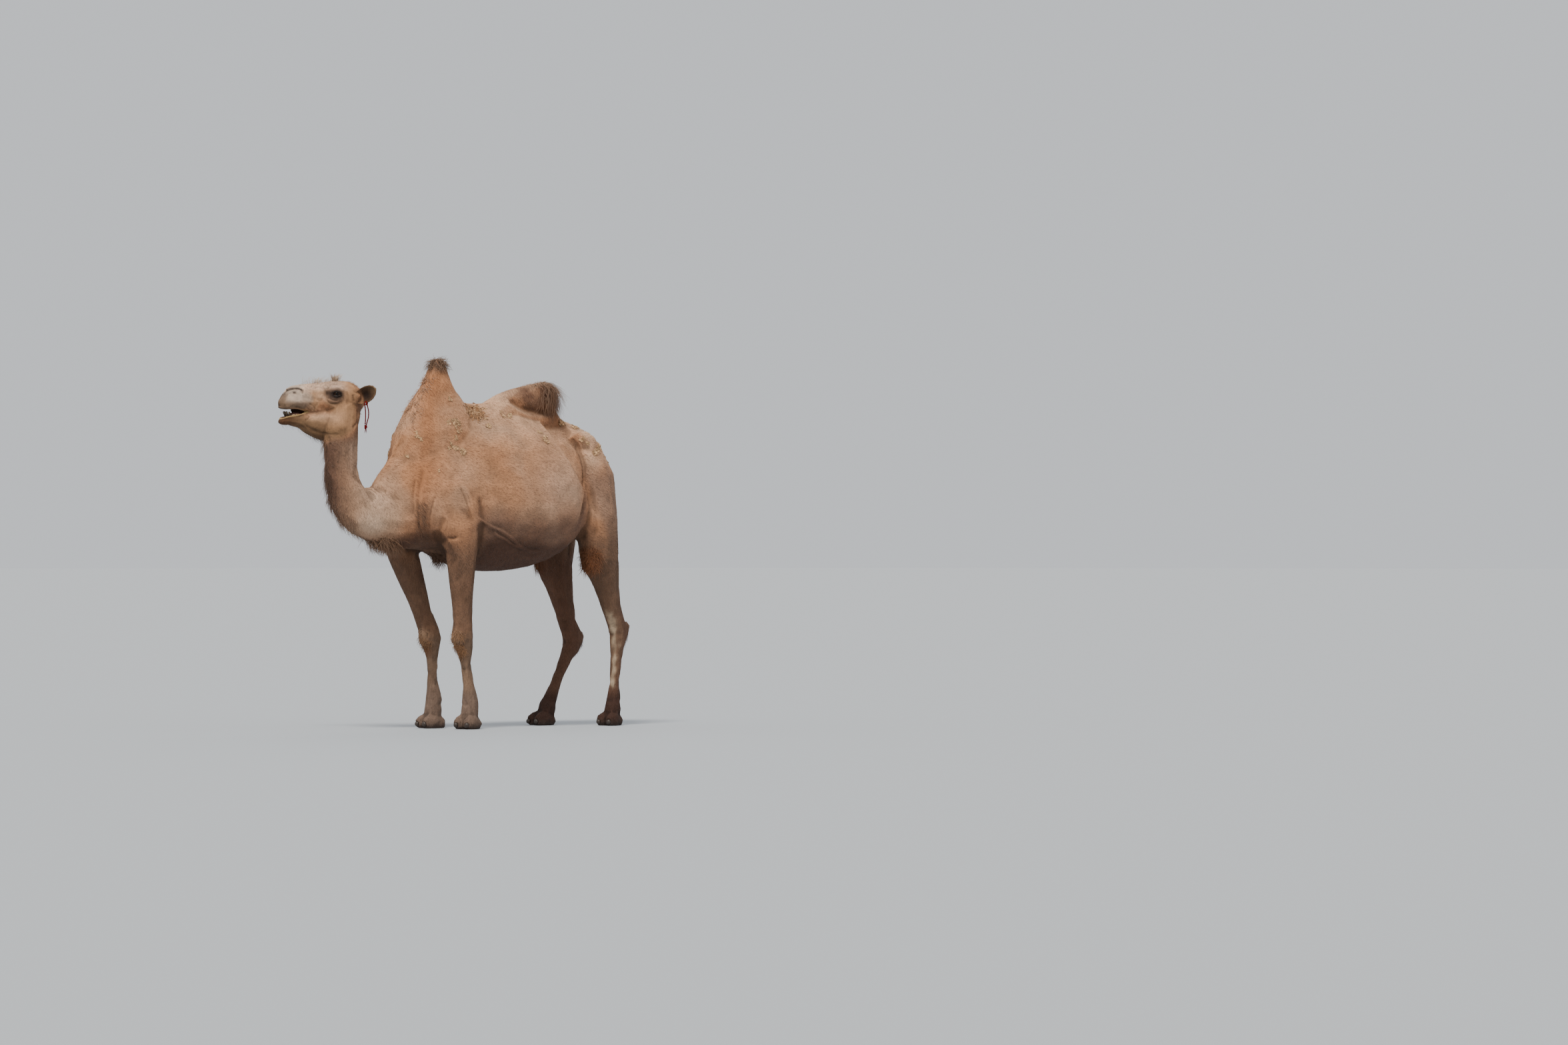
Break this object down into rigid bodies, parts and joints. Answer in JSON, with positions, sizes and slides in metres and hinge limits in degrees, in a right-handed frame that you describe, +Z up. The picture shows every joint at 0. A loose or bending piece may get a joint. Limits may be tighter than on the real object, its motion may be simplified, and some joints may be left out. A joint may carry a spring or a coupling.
{
  "type": "bactrian camel",
  "caption": "Still life-size model of a standing domestic bactrian camel in thin summer coat, with an upright front hump, a slack rear hump and a red ear tassel.",
  "frame": {"origin": "middle of the footprint of the whole camel's box, on the floor", "axes": "-X ahead, the way the body faces; -Y to the camel's left; +Z up"},
  "size_m": [2.2472, 0.7698, 2.0606],
  "materials": {
    "coat": "short sandy brown hair, paler on the face and lower legs, dark under the belly and on the hind legs",
    "skin": "bare dark skin round the eyes, nostrils, mouth, knees and soles",
    "eye": "wet dark brown eyeball",
    "horn": "dull dark toenail",
    "tooth": "stained yellowish tooth",
    "red_cord": "twisted red wool cord"
  },
  "bodies": {
    "root": {"head": "coat", "lower_jaw": "coat", "neck_upper": "coat", "neck_lower": "coat", "trunk": "coat", "hump_front": "coat", "hump_rear": "coat", "tail": "coat", "foreleg_left_upper": "coat", "foreleg_left_lower": "coat", "foreleg_left_foot": "coat", "foreleg_right_upper": "coat", "foreleg_right_lower": "coat", "foreleg_right_foot": "coat", "hindleg_left_upper": "coat", "hindleg_left_lower": "coat", "hindleg_left_foot": "coat", "hindleg_right_upper": "coat", "hindleg_right_lower": "coat", "hindleg_right_foot": "coat", "ear_left": "coat", "ear_right": "coat", "eye_left": "eye", "eye_right": "eye", "nail_fore_left_inner": "horn", "nail_fore_left_outer": "horn", "nail_fore_right_inner": "horn", "nail_fore_right_outer": "horn", "nail_hind_left_inner": "horn", "nail_hind_left_outer": "horn", "nail_hind_right_inner": "horn", "nail_hind_right_outer": "horn", "tassel_strand_front": "red_cord", "tassel_strand_back": "red_cord", "tassel_knot": "red_cord"}
  },
  "joints": []
}
